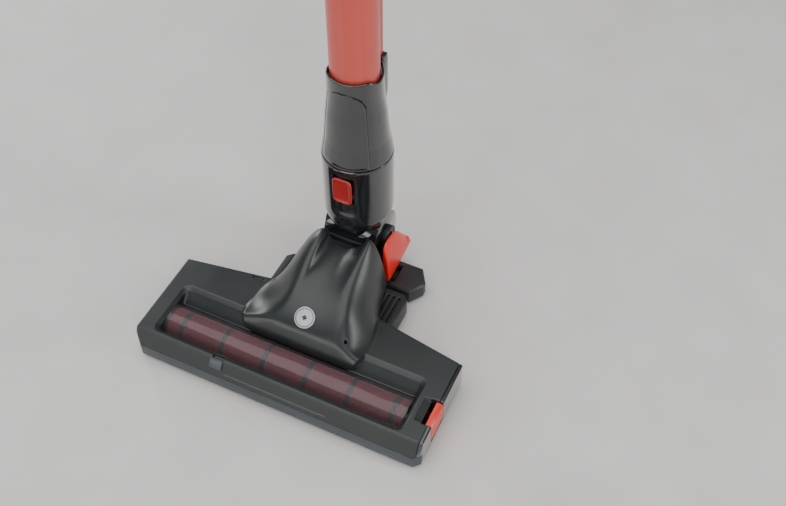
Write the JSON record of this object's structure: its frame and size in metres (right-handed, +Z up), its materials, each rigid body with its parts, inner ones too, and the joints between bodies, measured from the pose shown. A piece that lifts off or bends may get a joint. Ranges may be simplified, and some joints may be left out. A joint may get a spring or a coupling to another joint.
{
  "type": "vacuum cleaner floor head",
  "caption": "Motorised floor head of a stick vacuum: glazed brush roll, tilting and swivelling neck, foot pedal and the open lower end of its wand.",
  "frame": {"origin": "on the floor, midway between the front face and the collar's rear face, on the centre line", "axes": "+X along the brush roll to the latch end, +Y to the rear, +Z up along the upright wand"},
  "size_m": [0.255, 0.1896, 0.345],
  "materials": {
    "cover_black": "dark satin-gloss moulded plastic",
    "chassis_black": "fine matt moulded plastic",
    "bumper_grey": "slate grey satin strip",
    "badge_silver": "brushed silver disc",
    "window_smoke": "clear smoky plastic, glossy",
    "signal_red": "bright orange-red gloss plastic",
    "button_red": "deep red satin plastic",
    "wand_red": "metallic red lacquer",
    "fleece_burgundy": "short burgundy pile",
    "bristle_dark": "dark bristle rings",
    "steel": "drawn steel",
    "brass": "turned brass",
    "rubber_black": "soft black rubber",
    "board_green": "coated circuit board",
    "magnet_grey": "sintered magnet",
    "lint_red": "lint pile"
  },
  "bodies": {
    "head": {"top_cover": "cover_black", "badge": "badge_silver", "window": "window_smoke", "bumper": "bumper_grey", "end_cap_left": "cover_black", "end_cap_right": "cover_black", "latch_spring": "steel", "base_plate": "chassis_black", "cover_screws": "steel", "lint_strips": "lint_red", "roll_bearings": "brass", "drive_belt": "rubber_black", "motor_can": "steel", "motor_magnets": "magnet_grey", "circuit_board": "board_green", "motor_lead": "rubber_black", "air_duct": "chassis_black", "rear_block": "chassis_black", "neck_bracket": "chassis_black", "pivot_bushes": "brass", "neck_cradle": "chassis_black", "rear_sled": "chassis_black", "rear_axle": "steel", "roller_axles": "steel", "pedal_pin": "steel", "pedal_spring": "steel"},
    "brush_roll": {"roll_core": "steel", "roll_plugs": "chassis_black", "roll_shaft": "steel", "roll_fleece": "fleece_burgundy", "roll_bristles": "bristle_dark", "roll_pulley": "chassis_black"},
    "rotor": {"motor_rotor": "steel", "motor_pinion": "brass"},
    "latch": {"latch": "signal_red"},
    "pedal": {"pedal": "signal_red"},
    "neck": {"knuckle": "chassis_black", "swivel_ring": "chassis_black"},
    "collar": {"collar_shell": "cover_black", "collar_liner": "chassis_black", "contact_socket": "chassis_black"},
    "release_button": {"release_button": "button_red"},
    "wand": {"wand_fitting": "cover_black", "wand_panel": "cover_black", "plug_seal": "rubber_black", "contact_block": "chassis_black", "contact_pins": "brass", "wand_tube": "wand_red"},
    "wand_catch": {"wand_catch": "chassis_black"},
    "rear_wheel_left": {"rear_wheel_left": "chassis_black", "rear_tyre_left": "rubber_black"},
    "rear_wheel_right": {"rear_wheel_right": "chassis_black", "rear_tyre_right": "rubber_black"},
    "front_roller_left": {"front_roller_left": "chassis_black"},
    "front_roller_right": {"front_roller_right": "chassis_black"}
  },
  "joints": [
    {"name": "brush_spin", "type": "hinge", "parent": "head", "child": "brush_roll", "pos_m": [0, -0.06283, 0.0143], "axis": [1, 0, 0], "continuous": true},
    {"name": "rotor_spin", "type": "hinge", "parent": "head", "child": "rotor", "pos_m": [-0.1, -0.02082, 0.0165], "axis": [1, 0, 0], "continuous": true},
    {"name": "latch_press", "type": "slide", "parent": "head", "child": "latch", "axis": [-1, 0, 0], "range_m": [0, 0.003], "stiffness_N_per_m": 300, "springref_m": -0.0005, "deforming": ["latch_spring"]},
    {"name": "neck_tilt", "type": "hinge", "parent": "head", "child": "neck", "pos_m": [0, 0.06617, 0.058], "axis": [-1, 0, 0], "range_deg": [0, 60]},
    {"name": "collar_swivel", "type": "hinge", "parent": "neck", "child": "collar", "pos_m": [0, 0.06617, 0.09], "axis": [0, 0, 1], "range_deg": [-90, 90]},
    {"name": "release_press", "type": "slide", "parent": "collar", "child": "release_button", "axis": [0, 1, 0], "range_m": [0, 0.002], "stiffness_N_per_m": 300, "springref_m": -0.0005},
    {"name": "wand_lift", "type": "slide", "parent": "collar", "child": "wand", "axis": [0, 0, 1], "range_m": [0, 0.06]},
    {"name": "catch_press", "type": "slide", "parent": "wand", "child": "wand_catch", "axis": [0, 1, 0], "range_m": [0, 0.002], "stiffness_N_per_m": 100, "springref_m": -0.0005},
    {"name": "pedal_press", "type": "hinge", "parent": "head", "child": "pedal", "pos_m": [0, 0.05117, 0.022], "axis": [-1, 0, 0], "range_deg": [0, 7], "stiffness_Nm_per_rad": 3, "springref_deg": -3.44, "deforming": ["pedal_spring"]},
    {"name": "rear_wheel_left_spin", "type": "hinge", "parent": "head", "child": "rear_wheel_left", "pos_m": [-0.034, 0.06118, 0.008], "axis": [1, 0, 0], "continuous": true},
    {"name": "rear_wheel_right_spin", "type": "hinge", "parent": "head", "child": "rear_wheel_right", "pos_m": [0.034, 0.06118, 0.008], "axis": [1, 0, 0], "continuous": true},
    {"name": "front_roller_left_spin", "type": "hinge", "parent": "head", "child": "front_roller_left", "pos_m": [-0.048, -0.02482, 0.006], "axis": [1, 0, 0], "continuous": true},
    {"name": "front_roller_right_spin", "type": "hinge", "parent": "head", "child": "front_roller_right", "pos_m": [0.048, -0.02482, 0.006], "axis": [1, 0, 0], "continuous": true}
  ],
  "couplings": [
    {"joint": "rotor_spin", "follows": "brush_spin", "ratio": 1.6364},
    {"joint": "catch_press", "follows": "release_press", "ratio": 1}
  ]
}
